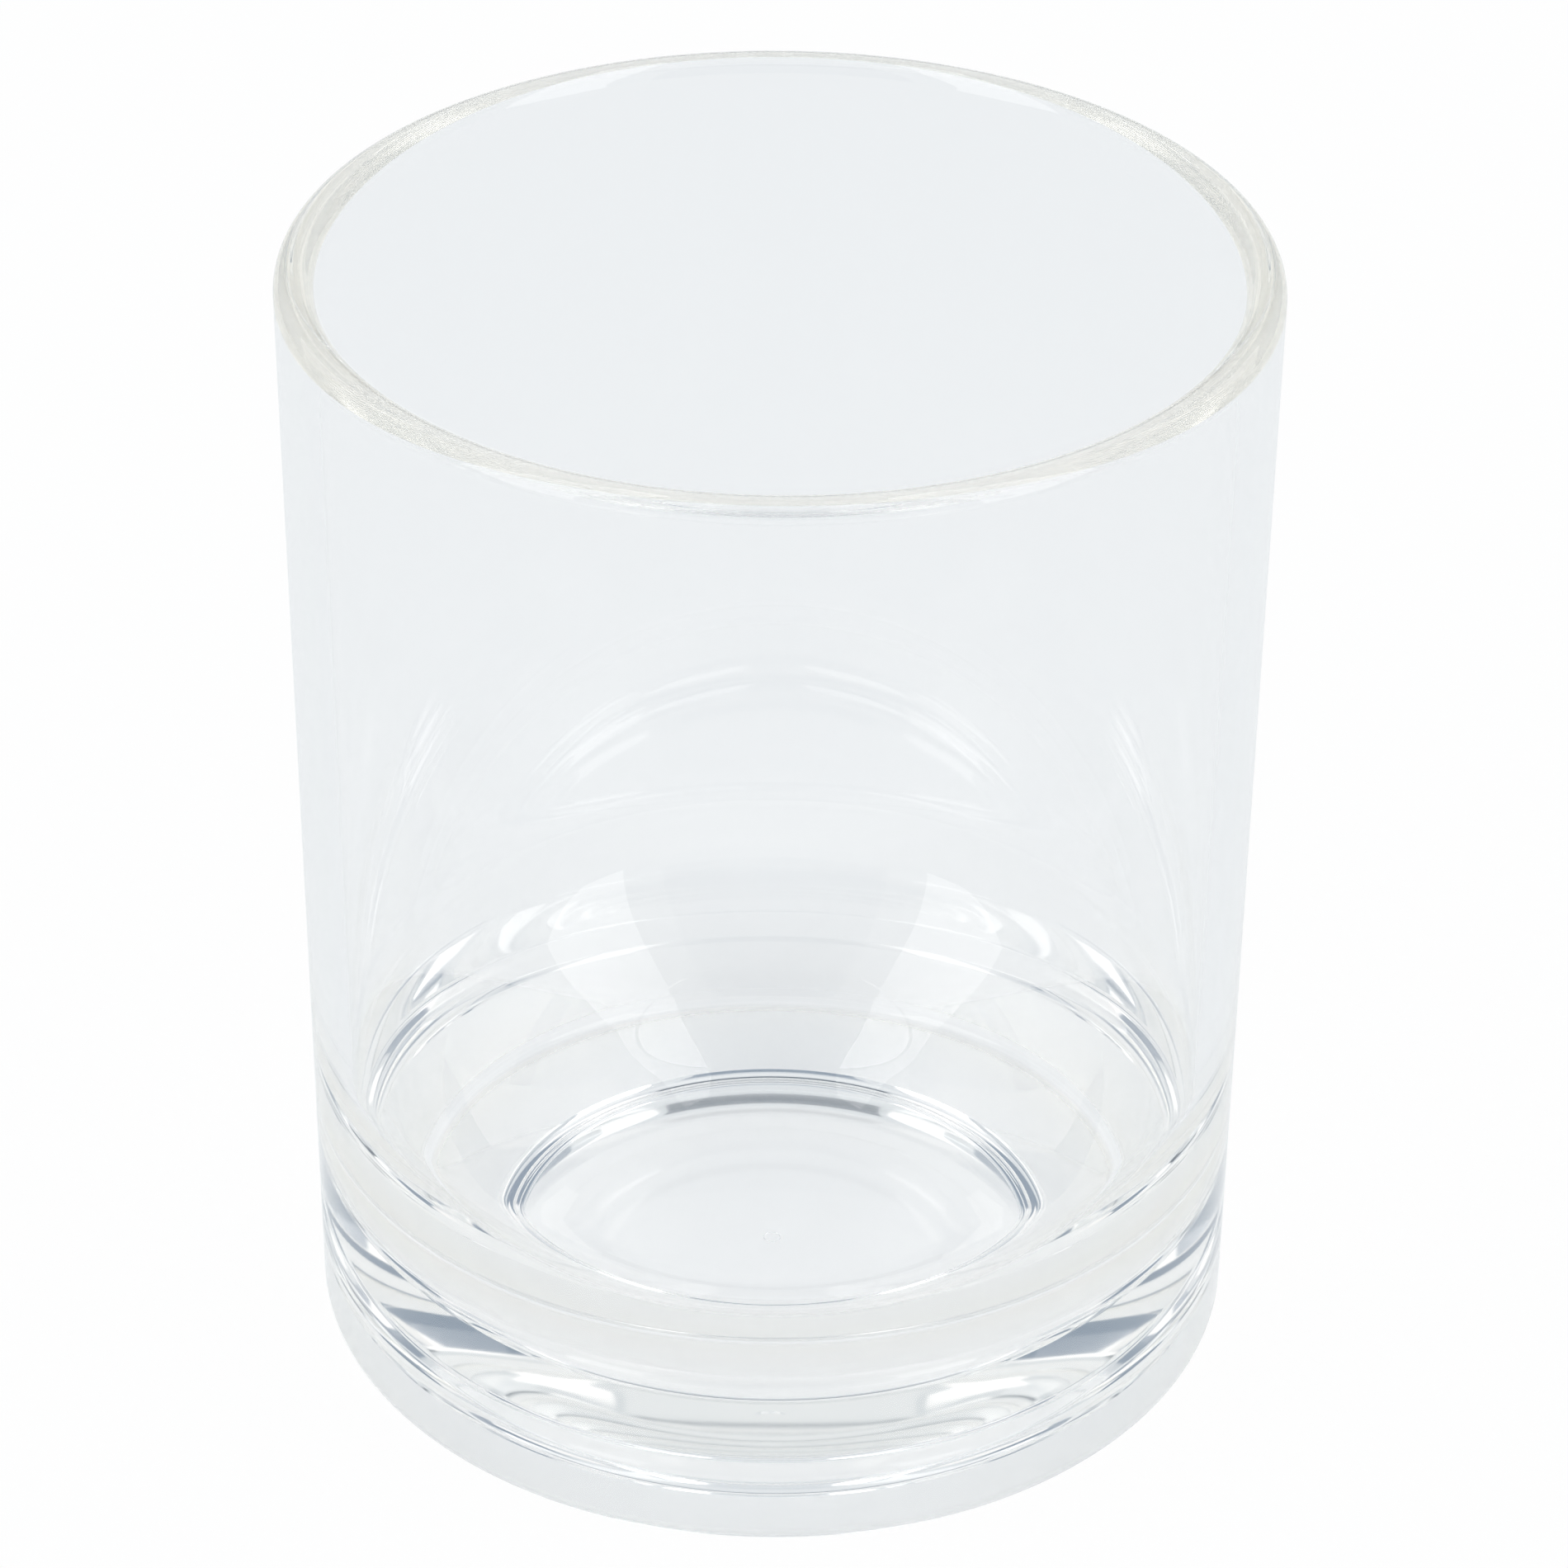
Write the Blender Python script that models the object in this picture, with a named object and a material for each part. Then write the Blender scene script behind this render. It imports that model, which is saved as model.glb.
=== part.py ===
"""Clear rocks glass: one moulded tumbler with a round rim, a bowl-shaped inside and a recessed underside.

Run with: blender --background --python part.py
Units are metres, +Z is up, and the origin is the middle of the foot, on the table.
"""
import math

import bpy
from mathutils import Matrix, Vector

# Overall form: a wall that flares a little from foot to rim
HEIGHT = 0.0950
RIM_DIAMETER = 0.0773
BASE_DIAMETER = 0.0755

# Wall, even from rim to foot
WALL = 0.0031

# Inside bottom: a wide bowl that sweeps from the wall into a small flat floor
FLOOR_THICKNESS = 0.0027
BOWL_RADIUS = 0.0237

# Underside: a flat foot ring around a shallow recess with a sloping, soft-edged side
FOOT_CORNER_RADIUS = 0.0019
FOOT_RING_WIDTH = 0.01305
RECESS_DEPTH = 0.0021
RECESS_SLOPE_RUN = 0.00185
RECESS_LIP_RADIUS = 0.0036
RECESS_CORNER_RADIUS = 0.00125

# Gate mark that the mould leaves in the middle of the recess
GATE_DIAMETER = 0.0014
GATE_HEIGHT = 0.0001

# Finish
CLEAR_COLOUR = (0.93, 0.95, 0.96, 1.0)
CLEAR_ROUGHNESS = 0.03
CLEAR_IOR = 1.52

# Facets of the turned solid
TURN_STEPS = 72
BOWL_STEPS = 14
RIM_STEPS = 8
CORNER_STEPS = 5
AXIS_MERGE = 0.00001


def clear_scene():
    """Remove every object, so that the model starts from nothing."""
    for item in list(bpy.data.objects):
        bpy.data.objects.remove(item, do_unlink=True)


def half_round(centre, radius, steps):
    """Points over the top of a round edge, from its inner side to its outer side."""
    points = []
    for step in range(steps + 1):
        turn = math.pi * (1 - step / steps)
        points.append(centre + Vector((math.cos(turn), math.sin(turn))) * radius)
    return points


def rounded(before, corner, after, radius, steps):
    """Points of the arc that rounds one corner of an outline, tangent to both of its sides."""
    back = (before - corner).normalized()
    ahead = (after - corner).normalized()
    half_angle = back.angle(ahead) / 2
    centre = corner + (back + ahead).normalized() * (radius / math.sin(half_angle))
    first = corner + back * (radius / math.tan(half_angle)) - centre
    sweep = math.copysign(math.pi - 2 * half_angle, ahead.cross(back))
    return [centre + Matrix.Rotation(sweep * step / steps, 2) @ first for step in range(steps + 1)]


def tumbler_outline():
    """The half section of the glass, from the middle of its floor round to the middle of its underside."""
    rim_radius = RIM_DIAMETER / 2
    base_radius = BASE_DIAMETER / 2
    half_wall = WALL / 2
    floor_top = RECESS_DEPTH + FLOOR_THICKNESS
    rim_tangent = HEIGHT - half_wall
    flare = (rim_radius - base_radius) / rim_tangent

    floor_middle = Vector((0, floor_top))
    floor_edge = Vector((base_radius - WALL + flare * floor_top, floor_top))
    rim_inside = Vector((rim_radius - WALL, rim_tangent))
    rim_centre = Vector((rim_radius - half_wall, rim_tangent))
    rim_outside = Vector((rim_radius, rim_tangent))
    foot_edge = Vector((base_radius, 0))
    recess_lip = Vector((base_radius - FOOT_RING_WIDTH, 0))
    recess_corner = recess_lip + Vector((-RECESS_SLOPE_RUN, RECESS_DEPTH))
    recess_middle = Vector((0, RECESS_DEPTH))
    gate_foot = Vector((GATE_DIAMETER / 2, RECESS_DEPTH))
    gate_drop = Vector((0, -GATE_HEIGHT))

    outline = [floor_middle]
    outline += rounded(floor_middle, floor_edge, rim_inside, BOWL_RADIUS, BOWL_STEPS)
    outline += half_round(rim_centre, half_wall, RIM_STEPS)
    outline += rounded(rim_outside, foot_edge, recess_lip, FOOT_CORNER_RADIUS, CORNER_STEPS)
    outline += rounded(foot_edge, recess_lip, recess_corner, RECESS_LIP_RADIUS, CORNER_STEPS)
    outline += rounded(recess_lip, recess_corner, recess_middle, RECESS_CORNER_RADIUS, CORNER_STEPS)
    outline += [gate_foot, gate_foot + gate_drop, recess_middle + gate_drop]
    return outline


def clear_material():
    """Clear moulded plastic."""
    material = bpy.data.materials.new("clear_body")
    material.use_nodes = True
    shader = material.node_tree.nodes["Principled BSDF"]
    shader.inputs["Base Color"].default_value = CLEAR_COLOUR
    shader.inputs["Roughness"].default_value = CLEAR_ROUGHNESS
    shader.inputs["Metallic"].default_value = 0.0
    shader.inputs["IOR"].default_value = CLEAR_IOR
    shader.inputs["Transmission Weight"].default_value = 1.0
    return material


def turned(name, outline):
    """A solid turned about +Z from a half section in the XZ plane."""
    mesh = bpy.data.meshes.new(name)
    edges = [(index, index + 1) for index in range(len(outline) - 1)]
    mesh.from_pydata([(point.x, 0, point.y) for point in outline], edges, [])
    solid = bpy.data.objects.new(name, mesh)
    bpy.context.scene.collection.objects.link(solid)
    screw = solid.modifiers.new("Turn", "SCREW")
    screw.axis = "Z"
    screw.angle = math.radians(360)
    screw.steps = TURN_STEPS
    screw.render_steps = TURN_STEPS
    screw.use_merge_vertices = True
    screw.merge_threshold = AXIS_MERGE
    screw.use_smooth_shade = True
    return solid


def main():
    clear_scene()
    tumbler = turned("tumbler_body", tumbler_outline())
    tumbler.data.materials.append(clear_material())


main()
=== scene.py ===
"""Looks for the clear rocks glass: a fine turned surface, clear warm plastic, a pale table and soft light.

Units are metres, +Z is up, and the origin is the middle of the foot, on the table.
"""
import math

import bmesh
import bpy
from mathutils import Matrix, Vector


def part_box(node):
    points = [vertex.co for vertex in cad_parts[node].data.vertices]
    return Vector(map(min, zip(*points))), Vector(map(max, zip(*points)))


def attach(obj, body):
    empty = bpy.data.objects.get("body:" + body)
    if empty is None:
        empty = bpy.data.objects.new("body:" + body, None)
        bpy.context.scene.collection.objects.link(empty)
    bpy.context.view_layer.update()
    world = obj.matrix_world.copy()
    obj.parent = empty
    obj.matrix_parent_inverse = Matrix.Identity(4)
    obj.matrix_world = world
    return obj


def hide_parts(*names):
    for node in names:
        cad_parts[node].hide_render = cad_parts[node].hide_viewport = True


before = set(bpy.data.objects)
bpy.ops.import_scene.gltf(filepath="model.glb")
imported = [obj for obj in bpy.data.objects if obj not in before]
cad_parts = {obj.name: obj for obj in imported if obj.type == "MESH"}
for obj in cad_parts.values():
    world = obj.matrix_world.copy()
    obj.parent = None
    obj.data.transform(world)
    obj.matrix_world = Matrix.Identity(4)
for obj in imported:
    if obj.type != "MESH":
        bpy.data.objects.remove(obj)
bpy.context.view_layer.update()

# Sizes of the glass: the overall ones are measured from the part in model.glb, the rest repeat the part's own
# values
NODE = "tumbler_body"
NODE_LOW, NODE_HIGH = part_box(NODE)
HEIGHT = NODE_HIGH.z - NODE_LOW.z
RIM_RADIUS = NODE_HIGH.x
BASE_RADIUS = 0.03775
WALL = 0.0031
FLOOR_THICKNESS = 0.0027
BOWL_RADIUS = 0.0237
FOOT_CORNER_RADIUS = 0.0019
FOOT_RING_WIDTH = 0.01305
RECESS_DEPTH = 0.0021
RECESS_SLOPE_RUN = 0.00185
RECESS_LIP_RADIUS = 0.0036
RECESS_CORNER_RADIUS = 0.00125
GATE_RADIUS = 0.0007
GATE_HEIGHT = 0.0001
GATE_EDGE_RADIUS = 0.00004

# Fineness of the turned surface
TURN_STEPS = 256
ARC_STEP = math.radians(1.5)
FEWEST_ARC_STEPS = 4
LONGEST_STEP = 0.0012
AXIS_RADIUS = 0.000003

# Clear plastic: glossy with a faint haze, satin in the recess and matte on the foot ring. These two finishes
# meet between two radii, and each fades out between two heights above its face
CLEAR_IOR = 1.52
CLEAR_ROUGHNESS = (0.0, 0.012)
HAZE_SCALE = 60.0
HAZE_DETAIL = 1.0
HAZE_RANGE = (0.55, 0.8)
FOOT_ROUGHNESS = 0.6
RECESS_ROUGHNESS = 0.05
RING_EDGE_RADII = (0.0265, 0.0266)
FINISH_FADE = (0.0001, 0.0003)
RECESS_FADE = (RECESS_DEPTH + FINISH_FADE[0], RECESS_DEPTH + FINISH_FADE[1])
ABSORPTION_COLOUR = (0.96, 0.82, 0.36, 1)
ABSORPTION_DENSITY = 0.75

# Camera, fitted to the outline of the glass in a picture of 1900 by 1900 pixels, with angles in radians
PICTURE_SIZE = 1900
FOCAL_PIXELS = 7095.67
CENTRE_PIXEL_X = 940.23
SENSOR = 36.0
LOOK_AT_HEIGHT = 0.0478
CAMERA_DISTANCE = 0.4715
CAMERA_ELEVATION = 0.5601
CAMERA_ROLL = 0.0085
CAMERA_NEAR = 0.01

# Table and room; the shares are how white they are to the camera, and in or through the glass
WHITE = (1, 1, 1, 1)
FLOOR_SIZE = 12.0
FLOOR_GAP = 0.00005
FLOOR_COLOUR = (0.755, 0.78, 0.79, 1)
FLOOR_ROUGHNESS = 0.9
FLOOR_CAMERA_SHARE = 0.97
FLOOR_GLASS_SHARE = 0.5
ROOM_COLOUR = (0.66, 0.71, 0.75, 1)
ROOM_CAMERA_SHARE = 1.0
ROOM_GLASS_SHARE = 0.1
LIGHT_BOUNCES = 160

# Lamps and sheets that stand around the glass on a sphere: a sheet runs from its first cross edge to its
# last, and an edge runs from one azimuth and elevation to another, in degrees
STUDIO_RADIUS = 3.0
SLATE = (0.22, 0.285, 0.37, 1)
DARK_SLATE = (0.06, 0.09, 0.13, 1)
BACKDROP_COLOUR = (0.82, 0.855, 0.88, 1)
STRIP_STRENGTH = 1.3
PANEL_STRENGTH = 1.0
SOFTBOX_STRENGTH = 2.3
FRONT_EDGES = [((148, 8), (212, 8)), ((148, 64), (212, 64))]
BACK_EDGES = [((-9.5, 9), (9.5, 9)), ((-9.5, 20), (9.5, 20))]
BACKDROP_EDGES = [((-15, 32), (15, 32)), ((-15, 56), (15, 56))]
STRIP_EDGES = [((10, 12), (17, 12)), ((12, 22), (19, 22)), ((16, 30), (22, 30)), ((16, 38), (21, 38))]
WINDOW_EDGES = [((22, 0.5), (58, 0.5)), ((23, 15), (54, 15)), ((24, 26), (40, 26)), ((25, 47), (36.5, 45))]
PANEL_EDGES = [((54.5, 15), (60, 15)), ((40.5, 26), (60, 26)), ((37, 45), (60, 45)), ((37, 60), (60, 60))]
SIDE_EDGES = [((61, 33.5), (100, 33.5)), ((61, 40), (100, 40))]
SOFTBOX_EDGES = [
    ((125, 2), (137, 2)), ((108, 18), (136, 20)), ((104, 43), (135, 42)), ((95, 57), (130, 60)),
    ((76, 64), (110, 72)), ((50, 68), (80, 77)), ((36, 67), (32, 74)), ((17, 61), (17, 66)),
]


def rounded(before, corner, after, radius):
    """Points of the arc that rounds one corner of an outline, tangent to both of its sides."""
    back = (before - corner).normalized()
    ahead = (after - corner).normalized()
    half_angle = back.angle(ahead) / 2
    centre = corner + (back + ahead).normalized() * (radius / math.sin(half_angle))
    first = corner + back * (radius / math.tan(half_angle)) - centre
    sweep = math.copysign(math.pi - 2 * half_angle, ahead.cross(back))
    steps = max(FEWEST_ARC_STEPS, math.ceil(abs(sweep) / ARC_STEP))
    return [centre + Matrix.Rotation(sweep * step / steps, 2) @ first for step in range(steps + 1)]


def half_round(centre, radius):
    """Points over the top of a round edge, from its inner side to its outer side."""
    steps = math.ceil(math.pi / ARC_STEP)
    turns = [math.pi * (1 - step / steps) for step in range(steps + 1)]
    return [centre + Vector((math.cos(turn), math.sin(turn))) * radius for turn in turns]


def evenly(outline):
    """The same outline with its long straight stretches cut into short steps."""
    points = [outline[0]]
    for start, end in zip(outline, outline[1:]):
        cuts = math.ceil((end - start).length / LONGEST_STEP)
        points += [start.lerp(end, cut / cuts) for cut in range(1, cuts + 1)]
    return points


def tumbler_outline():
    """The half section of the glass, from the middle of its floor round to the middle of its underside."""
    half_wall = WALL / 2
    floor_top = RECESS_DEPTH + FLOOR_THICKNESS
    rim_tangent = HEIGHT - half_wall
    flare = (RIM_RADIUS - BASE_RADIUS) / rim_tangent

    floor_middle = Vector((0, floor_top))
    floor_edge = Vector((BASE_RADIUS - WALL + flare * floor_top, floor_top))
    rim_inside = Vector((RIM_RADIUS - WALL, rim_tangent))
    rim_centre = Vector((RIM_RADIUS - half_wall, rim_tangent))
    rim_outside = Vector((RIM_RADIUS, rim_tangent))
    foot_edge = Vector((BASE_RADIUS, 0))
    recess_lip = Vector((BASE_RADIUS - FOOT_RING_WIDTH, 0))
    recess_corner = recess_lip + Vector((-RECESS_SLOPE_RUN, RECESS_DEPTH))
    gate_foot = Vector((GATE_RADIUS, RECESS_DEPTH))
    gate_edge = Vector((GATE_RADIUS, RECESS_DEPTH - GATE_HEIGHT))
    gate_middle = Vector((0, RECESS_DEPTH - GATE_HEIGHT))

    outline = [floor_middle]
    outline += rounded(floor_middle, floor_edge, rim_inside, BOWL_RADIUS)
    outline += half_round(rim_centre, half_wall)
    outline += rounded(rim_outside, foot_edge, recess_lip, FOOT_CORNER_RADIUS)
    outline += rounded(foot_edge, recess_lip, recess_corner, RECESS_LIP_RADIUS)
    outline += rounded(recess_lip, recess_corner, gate_foot, RECESS_CORNER_RADIUS)
    outline += rounded(recess_corner, gate_foot, gate_edge, GATE_EDGE_RADIUS)
    outline += rounded(gate_foot, gate_edge, gate_middle, GATE_EDGE_RADIUS)
    outline += [gate_middle]
    return evenly(outline)


def turned(name, outline):
    """A smooth closed solid turned about +Z from a half section."""
    built = bmesh.new()
    rings = []
    for point in outline:
        if point.x < AXIS_RADIUS:
            rings.append([built.verts.new((0, 0, point.y))])
            continue
        ring = []
        for step in range(TURN_STEPS):
            turn = 2 * math.pi * step / TURN_STEPS
            ring.append(built.verts.new((point.x * math.cos(turn), point.x * math.sin(turn), point.y)))
        rings.append(ring)
    for above, below in zip(rings, rings[1:]):
        for step in range(TURN_STEPS):
            after = (step + 1) % TURN_STEPS
            corners = [above[step % len(above)], above[after % len(above)]]
            corners += [below[after % len(below)], below[step % len(below)]]
            built.faces.new(dict.fromkeys(corners))
    bmesh.ops.recalc_face_normals(built, faces=built.faces)
    mesh = bpy.data.meshes.new(name)
    built.to_mesh(mesh)
    built.free()
    mesh.shade_smooth()
    solid = bpy.data.objects.new(name, mesh)
    bpy.context.scene.collection.objects.link(solid)
    return solid


def ramp(tree, value, span, ends):
    """A value that runs from one end to another while a given value crosses a span, and then holds."""
    node = tree.nodes.new("ShaderNodeMapRange")
    node.inputs["From Min"].default_value = span[0]
    node.inputs["From Max"].default_value = span[1]
    node.inputs["To Min"].default_value = ends[0]
    node.inputs["To Max"].default_value = ends[1]
    tree.links.new(value, node.inputs["Value"])
    return node.outputs["Result"]


def combined(tree, operation, first, second):
    """Two values put together by one operation."""
    node = tree.nodes.new("ShaderNodeMath")
    node.operation = operation
    tree.links.new(first, node.inputs[0])
    tree.links.new(second, node.inputs[1])
    return node.outputs["Value"]


def clear_roughness(tree):
    """Gloss with a faint uneven haze, a satin recess and a matte foot ring."""
    place = tree.nodes.new("ShaderNodeTexCoord").outputs["Object"]
    haze = tree.nodes.new("ShaderNodeTexNoise")
    haze.inputs["Scale"].default_value = HAZE_SCALE
    haze.inputs["Detail"].default_value = HAZE_DETAIL
    tree.links.new(place, haze.inputs["Vector"])
    gloss = ramp(tree, haze.outputs["Fac"], HAZE_RANGE, CLEAR_ROUGHNESS)

    split = tree.nodes.new("ShaderNodeSeparateXYZ")
    tree.links.new(place, split.inputs["Vector"])
    level = tree.nodes.new("ShaderNodeVectorMath")
    level.operation = "MULTIPLY"
    level.inputs[1].default_value = (1, 1, 0)
    tree.links.new(place, level.inputs[0])
    spread = tree.nodes.new("ShaderNodeVectorMath")
    spread.operation = "LENGTH"
    tree.links.new(level.outputs["Vector"], spread.inputs[0])
    height = split.outputs["Z"]
    radius = spread.outputs["Value"]

    low = ramp(tree, height, FINISH_FADE, (FOOT_ROUGHNESS, 0))
    matte = combined(tree, "MULTIPLY", low, ramp(tree, radius, RING_EDGE_RADII, (0, 1)))
    under = ramp(tree, height, RECESS_FADE, (RECESS_ROUGHNESS, 0))
    satin = combined(tree, "MULTIPLY", under, ramp(tree, radius, RING_EDGE_RADII, (1, 0)))
    return combined(tree, "MAXIMUM", gloss, combined(tree, "MAXIMUM", matte, satin))


def clear_material():
    """Clear moulded plastic, a little warm where light runs along the wall."""
    material = bpy.data.materials.new("clear_plastic")
    material.use_nodes = True
    tree = material.node_tree
    shader = tree.nodes["Principled BSDF"]
    shader.inputs["Base Color"].default_value = WHITE
    shader.inputs["IOR"].default_value = CLEAR_IOR
    shader.inputs["Transmission Weight"].default_value = 1.0
    tree.links.new(clear_roughness(tree), shader.inputs["Roughness"])

    absorption = tree.nodes.new("ShaderNodeVolumeAbsorption")
    absorption.inputs["Color"].default_value = ABSORPTION_COLOUR
    absorption.inputs["Density"].default_value = ABSORPTION_DENSITY
    tree.links.new(absorption.outputs["Volume"], tree.nodes["Material Output"].inputs["Volume"])
    return material


def camera():
    """The camera at the photograph's place."""
    data = bpy.data.cameras.new("camera")
    data.sensor_width = SENSOR
    data.lens = SENSOR * FOCAL_PIXELS / PICTURE_SIZE
    data.shift_x = (PICTURE_SIZE / 2 - CENTRE_PIXEL_X) / PICTURE_SIZE
    data.clip_start = CAMERA_NEAR
    eye = bpy.data.objects.new("camera", data)
    bpy.context.scene.collection.objects.link(eye)
    bpy.context.scene.camera = eye
    ahead = Vector((0, math.cos(CAMERA_ELEVATION), -math.sin(CAMERA_ELEVATION)))
    place = Vector((0, 0, LOOK_AT_HEIGHT)) - ahead * CAMERA_DISTANCE
    aim = ahead.to_track_quat("-Z", "Y").to_matrix().to_4x4()
    eye.matrix_world = Matrix.Translation(place) @ aim @ Matrix.Rotation(CAMERA_ROLL, 4, "Z")


def white_share(tree, camera_share, glass_share):
    """How white a backdrop is: one share to the camera, another in reflections and through the glass."""
    path = tree.nodes.new("ShaderNodeLightPath")
    glass = combined(tree, "MAXIMUM", path.outputs["Is Glossy Ray"], path.outputs["Is Transmission Ray"])
    seen = ramp(tree, path.outputs["Is Camera Ray"], (0, 1), (0, camera_share))
    return combined(tree, "MAXIMUM", seen, ramp(tree, glass, (0, 1), (0, glass_share)))


def mixed(tree, share, first, second):
    """Two shaders mixed by a share."""
    node = tree.nodes.new("ShaderNodeMixShader")
    tree.links.new(share, node.inputs["Fac"])
    tree.links.new(first, node.inputs[1])
    tree.links.new(second, node.inputs[2])
    return node.outputs["Shader"]


def floor_material():
    """Pale table: white to the camera, pale through the glass, with the shadow kept, and clear from below."""
    material = bpy.data.materials.new("table")
    material.use_nodes = True
    tree = material.node_tree
    shader = tree.nodes["Principled BSDF"]
    shader.inputs["Base Color"].default_value = FLOOR_COLOUR
    shader.inputs["Roughness"].default_value = FLOOR_ROUGHNESS
    shader.inputs["Specular IOR Level"].default_value = 0.0
    white = tree.nodes.new("ShaderNodeEmission")
    white.inputs["Color"].default_value = WHITE
    share = white_share(tree, FLOOR_CAMERA_SHARE, FLOOR_GLASS_SHARE)
    pale = mixed(tree, share, shader.outputs["BSDF"], white.outputs["Emission"])

    clear = tree.nodes.new("ShaderNodeBsdfTransparent")
    below = tree.nodes.new("ShaderNodeNewGeometry").outputs["Backfacing"]
    surface = mixed(tree, below, pale, clear.outputs["BSDF"])
    tree.links.new(surface, tree.nodes["Material Output"].inputs["Surface"])
    return material


def table():
    """A wide pale table top just under the foot."""
    mesh = bpy.data.meshes.new("table")
    built = bmesh.new()
    bmesh.ops.create_grid(built, x_segments=1, y_segments=1, size=FLOOR_SIZE / 2)
    built.to_mesh(mesh)
    built.free()
    mesh.materials.append(floor_material())
    top = bpy.data.objects.new("table", mesh)
    bpy.context.scene.collection.objects.link(top)
    top.location.z = -FLOOR_GAP


def direction(azimuth, elevation):
    """Unit vector from the glass; azimuth 0 is behind it, as the camera sees it, and 90 is to its right."""
    turn = math.radians(azimuth)
    rise = math.radians(elevation)
    return Vector((math.sin(turn) * math.cos(rise), math.cos(turn) * math.cos(rise), math.sin(rise)))


def glow_material(name, colour, strength=1.0):
    """An even glow, for a lamp or a sheet that stands around the glass."""
    material = bpy.data.materials.new(name)
    material.use_nodes = True
    nodes = material.node_tree.nodes
    glow = nodes.new("ShaderNodeEmission")
    glow.inputs["Color"].default_value = colour
    glow.inputs["Strength"].default_value = strength
    material.cycles.emission_sampling = "NONE"
    material.node_tree.links.new(glow.outputs["Emission"], nodes["Material Output"].inputs["Surface"])
    return material


def sheet(name, edges, material, side=1):
    """A sheet around the glass through cross edges, each from one azimuth and elevation to another.

    Side -1 mirrors it to the left.
    """
    built = bmesh.new()
    rows = []
    for edge in edges:
        ends = [direction(side * azimuth, elevation) * STUDIO_RADIUS for azimuth, elevation in edge]
        rows.append([built.verts.new(end) for end in ends])
    for (low_first, low_last), (high_first, high_last) in zip(rows, rows[1:]):
        built.faces.new((low_first, low_last, high_last, high_first))
    mesh = bpy.data.meshes.new(name)
    built.to_mesh(mesh)
    built.free()
    mesh.materials.append(material)
    placed = bpy.data.objects.new(name, mesh)
    bpy.context.scene.collection.objects.link(placed)
    placed.visible_camera = False


def room():
    """Pale surroundings: white to the camera, and pale grey in and through the glass."""
    world = bpy.data.worlds.new("room")
    bpy.context.scene.world = world
    world.use_nodes = True
    tree = world.node_tree
    pale = tree.nodes["Background"]
    pale.inputs["Color"].default_value = ROOM_COLOUR
    white = tree.nodes.new("ShaderNodeBackground")
    white.inputs["Color"].default_value = WHITE
    share = white_share(tree, ROOM_CAMERA_SHARE, ROOM_GLASS_SHARE)
    surface = mixed(tree, share, pale.outputs["Background"], white.outputs["Background"])
    tree.links.new(surface, tree.nodes["World Output"].inputs["Surface"])


def studio():
    """Table, room, lamps and the settings that clear pieces need."""
    table()
    room()
    slate = glow_material("slate", SLATE)
    sheet("front", FRONT_EDGES, slate)
    sheet("back", BACK_EDGES, glow_material("dark_slate", DARK_SLATE))
    sheet("backdrop", BACKDROP_EDGES, glow_material("backdrop", BACKDROP_COLOUR))
    strip = glow_material("strip", WHITE, STRIP_STRENGTH)
    panel = glow_material("panel", WHITE, PANEL_STRENGTH)
    softbox = glow_material("softbox", WHITE, SOFTBOX_STRENGTH)
    for name, side in (("right", 1), ("left", -1)):
        sheet("window_" + name, WINDOW_EDGES, slate, side)
        sheet("side_" + name, SIDE_EDGES, slate, side)
        sheet("strip_" + name, STRIP_EDGES, strip, side)
        sheet("panel_" + name, PANEL_EDGES, panel, side)
        sheet("softbox_" + name, SOFTBOX_EDGES, softbox, side)
    scene = bpy.context.scene
    scene.view_settings.view_transform = "Standard"
    scene.cycles.max_bounces = LIGHT_BOUNCES
    scene.cycles.transmission_bounces = LIGHT_BOUNCES
    scene.cycles.glossy_bounces = LIGHT_BOUNCES
    scene.cycles.blur_glossy = 0.0


def main():
    camera()
    glass = turned("tumbler", tumbler_outline())
    glass.data.materials.append(clear_material())
    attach(glass, "root")
    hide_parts(NODE)
    studio()


main()
